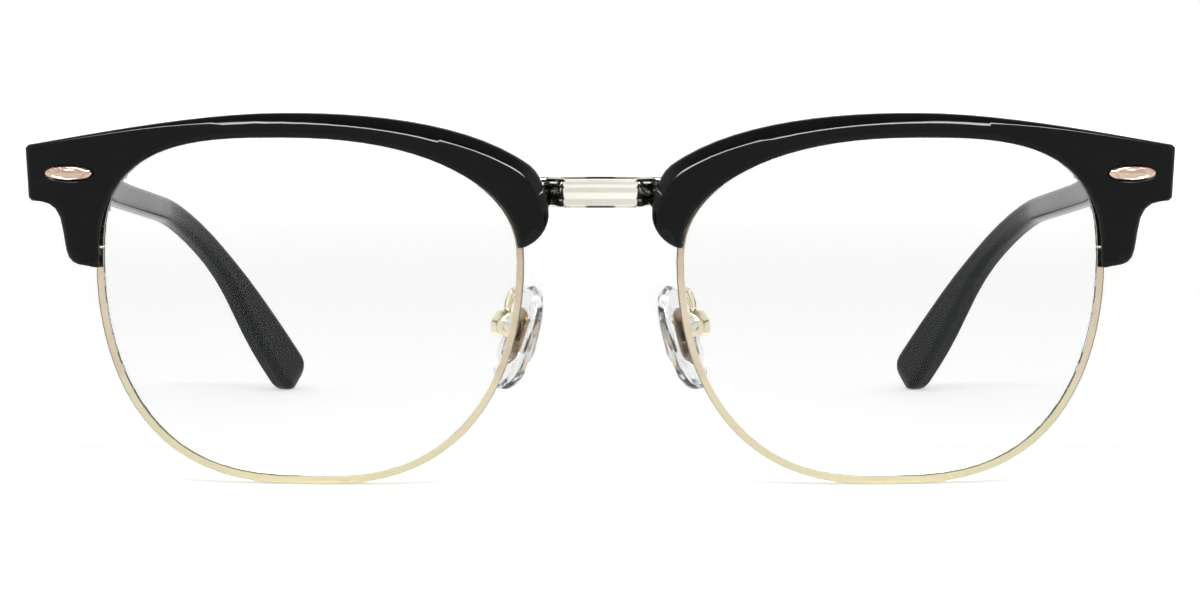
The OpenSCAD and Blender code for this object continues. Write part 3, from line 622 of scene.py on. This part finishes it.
class Workbench:
    """Copies, welds, softens and dresses pieces."""

    def __init__(self) -> None:
        """Starts with the shared effects and no materials."""
        self.effects = Effects()
        self.materials: dict[str, bpy.types.Material] = {}

    def finish(self, piece: bpy.types.Object, finish: Finish) -> None:
        """Gives a piece its material.

        Args:
            piece: The piece.
            finish: Its finish.
        """
        if finish.name not in self.materials:
            self.materials[finish.name] = finish.material(self.effects)
        piece.data.materials.clear()
        piece.data.materials.append(self.materials[finish.name])

    @staticmethod
    def only(piece: bpy.types.Object) -> None:
        """Selects a piece alone and makes it the active one."""
        bpy.ops.object.select_all(action="DESELECT")
        piece.select_set(True)
        bpy.context.view_layer.objects.active = piece

    @staticmethod
    def welded(node: str, name: str, faces: "Faces") -> bpy.types.Object:
        """Copies a solid's mesh into a new piece and welds its loose triangles.

        Args:
            node: Name of the solid.
            name: Name of the new piece.
            faces: How the triangles are joined into larger faces.

        Returns:
            The new piece.
        """
        piece = bpy.data.objects.new(name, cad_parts[node].data.copy())
        bpy.context.scene.collection.objects.link(piece)
        Workbench.only(piece)
        bpy.ops.object.mode_set(mode="EDIT")
        bpy.ops.mesh.select_all(action="SELECT")
        bpy.ops.mesh.remove_doubles(threshold=0.002 * MM)
        if faces is Faces.FLAT:
            bpy.ops.mesh.dissolve_limited(angle_limit=math.radians(0.2))
        elif faces is Faces.LOFTED:
            bpy.ops.mesh.tris_convert_to_quads(
                face_threshold=math.radians(30), shape_threshold=math.radians(120)
            )
        bpy.ops.object.mode_set(mode="OBJECT")
        return piece

    @staticmethod
    def soften(piece: bpy.types.Object, cut: "Cut") -> None:
        """Rounds the chosen edges that are sharper than an angle, inside the solid's skin.

        Args:
            piece: The piece.
            cut: Width of the rounding, angle past which an edge is rounded, which edges may
                be rounded, and faces across the rounding.
        """
        solid = piece.data
        skin = BVHTree.FromPolygons([v.co for v in solid.vertices], [p.vertices for p in solid.polygons])
        Workbench.only(piece)
        bpy.ops.object.mode_set(mode="EDIT")
        bpy.ops.mesh.select_mode(type="EDGE")
        bpy.ops.mesh.select_all(action="DESELECT")
        mesh = bmesh.from_edit_mesh(piece.data)
        for edge in mesh.edges:
            if len(edge.link_faces) == 2 and edge.calc_face_angle(0.0) > math.radians(cut.sharp):
                edge.select_set(cut.chosen(edge))
        mesh.select_flush_mode()
        bmesh.update_edit_mesh(piece.data)
        bpy.ops.mesh.bevel(
            offset=cut.edge, segments=cut.rounds, profile=0.5, clamp_overlap=False, loop_slide=True
        )
        bpy.ops.object.mode_set(mode="OBJECT")
        strays = 0
        for vert in piece.data.vertices:
            place, _, _, gap = skin.find_nearest(vert.co)
            if gap > STRAY_SHARE * cut.edge:
                vert.co = place
                strays += 1
        if strays:
            LOG.info("%s: %d stray points pulled back to the skin", piece.name, strays)

    @staticmethod
    def shade(piece: bpy.types.Object, angle: float) -> None:
        """Shades a piece smooth below an angle in degrees, with its large faces kept flat."""
        Workbench.only(piece)
        bpy.ops.object.shade_smooth_by_angle(angle=math.radians(angle))
        bpy.ops.object.modifier_add(type="WEIGHTED_NORMAL")
        weighted = piece.modifiers[-1]
        weighted.keep_sharp = True
        bpy.ops.object.modifier_apply(modifier=weighted.name)

    def dress_node(self, node: str, finish: "Finish", body: str, cut: "Cut") -> bpy.types.Object:
        """Makes the finished piece that stands for one solid.

        Args:
            node: Name of the solid.
            finish: The piece's finish.
            body: Body it moves with.
            cut: How its faces and edges are worked.

        Returns:
            The finished piece.
        """
        piece = self.welded(node, f"{node}_dressed", cut.faces)
        if cut.edge:
            self.soften(piece, cut)
        self.shade(piece, cut.smooth)
        self.finish(piece, finish)
        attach(piece, body)
        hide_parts(node)
        LOG.info("%s: %d faces, %s", piece.name, len(piece.data.polygons), finish.name)
        return piece


# ---- Sub-assemblies ---------------------------------------------------------------------------

LOBE_FOOT_Z = 33 * MM  # the nose lobe's foot lies below this height
LOBE_FOOT_X = 22 * MM  # and closer than this to the middle
PLATE_END = 9 * MM  # how far the hinge's beds reach behind its screws

def on_front(edge: bmesh.types.BMEdge) -> bool:
    """True for an edge with a face that looks forwards, away from the nose lobe's narrow foot."""
    foot = all(vert.co.z < LOBE_FOOT_Z and abs(vert.co.x) < LOBE_FOOT_X for vert in edge.verts)
    return not foot and any(face.normal.y < -0.5 for face in edge.link_faces)


def outside_plate(edge: bmesh.types.BMEdge) -> bool:
    """True for an edge away from the beds and holes that are cut into a temple's front end."""
    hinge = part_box("hinge_screws")
    return min(v.co.y for v in edge.verts) > hinge[1].y + PLATE_END


@dataclass
class BrowBar:
    """The acetate bar over one lens, with its shield."""

    side: Side
    bar: Cut = Cut(Faces.LOFTED, 0.28 * MM, 30.0, 36.0, 4, on_front)
    shield: Cut = Cut(Faces.KEPT, 0.0, smooth=30.0)

    def build(self, bench: Workbench) -> None:
        """Dresses the bar and its shield."""
        bench.dress_node(self.side.node("brow"), ACETATE, "front", self.bar)
        bench.dress_node(self.side.node("rivet_shield"), SHIELD, "front", self.shield)


@dataclass
class Eyewire:
    """One grooved eyewire, its closing blocks and its lens."""

    side: Side
    wire: Cut = Cut(Faces.LOFTED, 0.0, smooth=50.0)
    block: Cut = Cut(Faces.FLAT, 0.08 * MM)
    lens: Cut = Cut(Faces.KEPT, 0.0, smooth=20.0)

    def build(self, bench: Workbench) -> None:
        """Dresses the eyewire, the blocks and the lens."""
        bench.dress_node(self.side.node("rim"), EYEWIRE, "front", self.wire)
        for stem in ("rim_lock_upper", "rim_lock_lower"):
            bench.dress_node(self.side.node(stem), EYEWIRE, "front", self.block)
        bench.dress_node(self.side.node("lens"), LENS, "front", self.lens)


@dataclass
class Bridge:
    """The ribbed bar between the eyewires."""

    bar: Cut = Cut(Faces.LOFTED, 0.0, smooth=35.0)

    def build(self, bench: Workbench) -> None:
        """Dresses the bridge."""
        bench.dress_node("bridge", BRIDGE, "front", self.bar)


@dataclass
class NosePad:
    """One rocking pad, its insert, its box and its arm."""

    side: Side
    arm: Cut = Cut(Faces.LOFTED, 0.0, smooth=60.0)
    box: Cut = Cut(Faces.FLAT, 0.1 * MM)
    pad: Cut = Cut(Faces.LOFTED, 0.0, smooth=60.0)
    insert: Cut = Cut(Faces.FLAT, 0.05 * MM)

    def build(self, bench: Workbench) -> None:
        """Dresses the arm and box on the front, and the pad on its own body."""
        bench.dress_node(self.side.node("pad_arm"), PAD_METAL, "front", self.arm)
        bench.dress_node(self.side.node("pad_box"), PAD_METAL, "front", self.box)
        rocking = self.side.node("pad")
        bench.dress_node(self.side.node("nose_pad"), SILICONE, rocking, self.pad)
        bench.dress_node(self.side.node("pad_insert"), INSERT, rocking, self.insert)


@dataclass
class Temple:
    """One temple, with its core wire and its leaf of the hinge."""

    side: Side
    arm: Cut = Cut(Faces.LOFTED, 0.45 * MM, 30.0, 60.0, 4, outside_plate)
    metal: Cut = Cut(Faces.FLAT, 0.05 * MM)
    wire: Cut = Cut(Faces.LOFTED, 0.1 * MM)

    def build(self, bench: Workbench) -> None:
        """Dresses the temple's pieces on its body, and the hinge's other leaf on the front."""
        body = self.side.node("temple")
        bench.dress_node(self.side.node("temple"), TEMPLE_ACETATE, body, self.arm)
        bench.dress_node(self.side.node("core_wire"), CORE_WIRE, body, self.wire)
        bench.dress_node(self.side.node("hinge_temple"), HINGE, body, self.metal)
        bench.dress_node(self.side.node("hinge_front"), HINGE, "front", self.metal)


@dataclass
class Fasteners:
    """All the small slotted screws."""

    nodes: tuple[str, ...] = ("rim_screws", "brow_screws", "pad_screws", "hinge_screws")
    screw: Cut = Cut(Faces.FLAT, 0.04 * MM)

    def build(self, bench: Workbench) -> None:
        """Dresses each group of screws."""
        for node in self.nodes:
            bench.dress_node(node, SCREW, "front", self.screw)


# ---- Studio --------------------------------------------------------------------------------------


@dataclass
class Lamp:
    """A soft rectangular lamp."""

    name: str
    place: Color
    aim: Color
    size: tuple[float, float]
    power: float

    def build(self) -> None:
        """Adds the lamp and turns it to what it lights."""
        data = bpy.data.lights.new(self.name, "AREA")
        data.shape = "RECTANGLE"
        data.size, data.size_y = self.size
        data.energy = self.power
        lamp = bpy.data.objects.new(self.name, data)
        bpy.context.scene.collection.objects.link(lamp)
        lamp.location = self.place
        lamp.rotation_euler = (Vector(self.aim) - Vector(self.place)).to_track_quat("-Z", "Y").to_euler()


@dataclass
class Studio:
    """Pale floor, soft light and the camera."""

    camera_gap: float = 508 * MM
    camera_height: float = 56.6 * MM
    pitch: float = 3.7
    focal: float = 121.9
    sensor: float = 36.0
    shift: tuple[float, float] = (-0.0003, -0.0018)
    diffuse_light: float = 0.5
    front_mirror: float = 0.85
    top_mirror: float = 0.3
    front_turn: tuple[float, float] = (-0.4, 0.3)
    top_turn: tuple[float, float] = (0.55, 0.9)
    floor_size: float = 8.0
    floor_white: float = 0.9
    floor_lift: tuple[float, float] = (0.4, 0.6)
    lift_span: tuple[float, float] = (0.25, 1.1)
    band_low: float = 0.6
    band_high: float = 0.76
    band_edge: float = 0.02
    band_level: float = 40.0
    band_turn: tuple[float, float] = (-0.4, -0.3)

    def build(self) -> None:
        """Builds the floor, the world, the lamps and the camera."""
        self.floor()
        self.world()
        Lamp("front_strip", (0.0, -0.47, 0.46), (0.0, -0.06, 0.04), (0.7, 0.03), 1.2).build()
        self.camera()
        bpy.context.scene.view_settings.view_transform = "Standard"

    def camera(self) -> None:
        """Places the camera in front of the lenses, a little above them."""
        data = bpy.data.cameras.new("camera")
        data.lens = self.focal
        data.sensor_width = self.sensor
        data.sensor_fit = "HORIZONTAL"
        data.shift_x, data.shift_y = self.shift
        data.clip_start = 0.01
        camera = bpy.data.objects.new("camera", data)
        bpy.context.scene.collection.objects.link(camera)
        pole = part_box("lens_left")[0].y
        camera.location = (0.0, pole - self.camera_gap, self.camera_height)
        camera.rotation_euler = (math.radians(90.0 - self.pitch), 0.0, 0.0)
        bpy.context.scene.camera = camera

    def floor(self) -> None:
        """Adds the floor, white to the camera except where the object shades it."""
        bpy.ops.object.select_all(action="DESELECT")
        bpy.ops.mesh.primitive_plane_add(size=self.floor_size)
        floor = bpy.context.object
        floor.name = "floor"
        material = bpy.data.materials.new("pale_floor")
        material.use_nodes = True
        nodes = NodeTree(material.node_tree)
        shader = material.node_tree.nodes["Principled BSDF"]
        shader.inputs["Base Color"].default_value = (*(3 * [self.floor_white]), 1.0)
        shader.inputs["Roughness"].default_value = 0.8
        shader.inputs["Specular IOR Level"].default_value = 0.1
        shader.inputs["Emission Color"].default_value = (1.0, 1.0, 1.0, 1.0)
        gaps = [nodes.math("POWER", nodes.place_axis(axis), 2.0) for axis in "XY"]
        gap = nodes.math("SQRT", nodes.math("ADD", *gaps))
        lift = nodes.span(gap, *self.lift_span, *self.floor_lift)
        nodes.link(nodes.math("MULTIPLY", self.seen(nodes), lift), shader.inputs["Emission Strength"])
        floor.data.materials.append(material)

    @staticmethod
    def seen(nodes: NodeTree) -> bpy.types.NodeSocket:
        """1 for rays from the camera, mirrors and glass, 0 for rays that light surfaces."""
        path = nodes.add("ShaderNodeLightPath")
        shown = nodes.math("MAXIMUM", path.outputs["Is Camera Ray"], path.outputs["Is Glossy Ray"])
        return nodes.math("MAXIMUM", shown, path.outputs["Is Transmission Ray"])

    def world(self) -> None:
        """White all round to the camera; reflections see a dimmer front and top and a bright band."""
        world = bpy.data.worlds.new("studio")
        world.use_nodes = True
        bpy.context.scene.world = world
        nodes = NodeTree(world.node_tree)
        background = world.node_tree.nodes["Background"]
        direction = nodes.add("ShaderNodeTexCoord").outputs["Generated"]
        split = nodes.add("ShaderNodeSeparateXYZ")
        nodes.link(direction, split.inputs[0])
        path = nodes.add("ShaderNodeLightPath")
        level = nodes.span(split.outputs["Y"], *self.front_turn, self.front_mirror, 1.0)
        upper = nodes.span(split.outputs["Z"], *self.top_turn, 1.0, self.top_mirror)
        low, high, edge = self.band_low, self.band_high, self.band_edge
        rise = nodes.span(split.outputs["Z"], low, low + edge, 0.0, self.band_level)
        fall = nodes.span(split.outputs["Z"], high, high + edge, 1.0, 0.0)
        ahead = nodes.span(split.outputs["Y"], *self.band_turn, 1.0, 0.0)
        band = nodes.math("MULTIPLY", nodes.math("MULTIPLY", rise, fall), ahead)
        mirrored = nodes.math("ADD", nodes.math("MULTIPLY", level, upper), band)
        straight = nodes.math("MAXIMUM", path.outputs["Is Camera Ray"], path.outputs["Is Transmission Ray"])
        glossy = nodes.math("MULTIPLY", path.outputs["Is Glossy Ray"], mirrored)
        shown = nodes.math("MAXIMUM", straight, glossy)
        lit = nodes.math("MULTIPLY", nodes.math("SUBTRACT", 1.0, self.seen(nodes)), self.diffuse_light)
        nodes.link(nodes.math("ADD", shown, lit), background.inputs["Strength"])
        background.inputs["Color"].default_value = (1.0, 1.0, 1.0, 1.0)


def main() -> None:
    logging.basicConfig(level=logging.INFO, format="%(name)s: %(message)s")
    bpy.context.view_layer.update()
    bench = Workbench()
    assemblies: list[object] = [Bridge(), Fasteners()]
    for side in Side:
        assemblies += [BrowBar(side), Eyewire(side), NosePad(side), Temple(side)]
    for assembly in assemblies:
        assembly.build(bench)
        LOG.info("built %s", assembly)
    Studio().build()


if __name__ == "__main__":
    main()
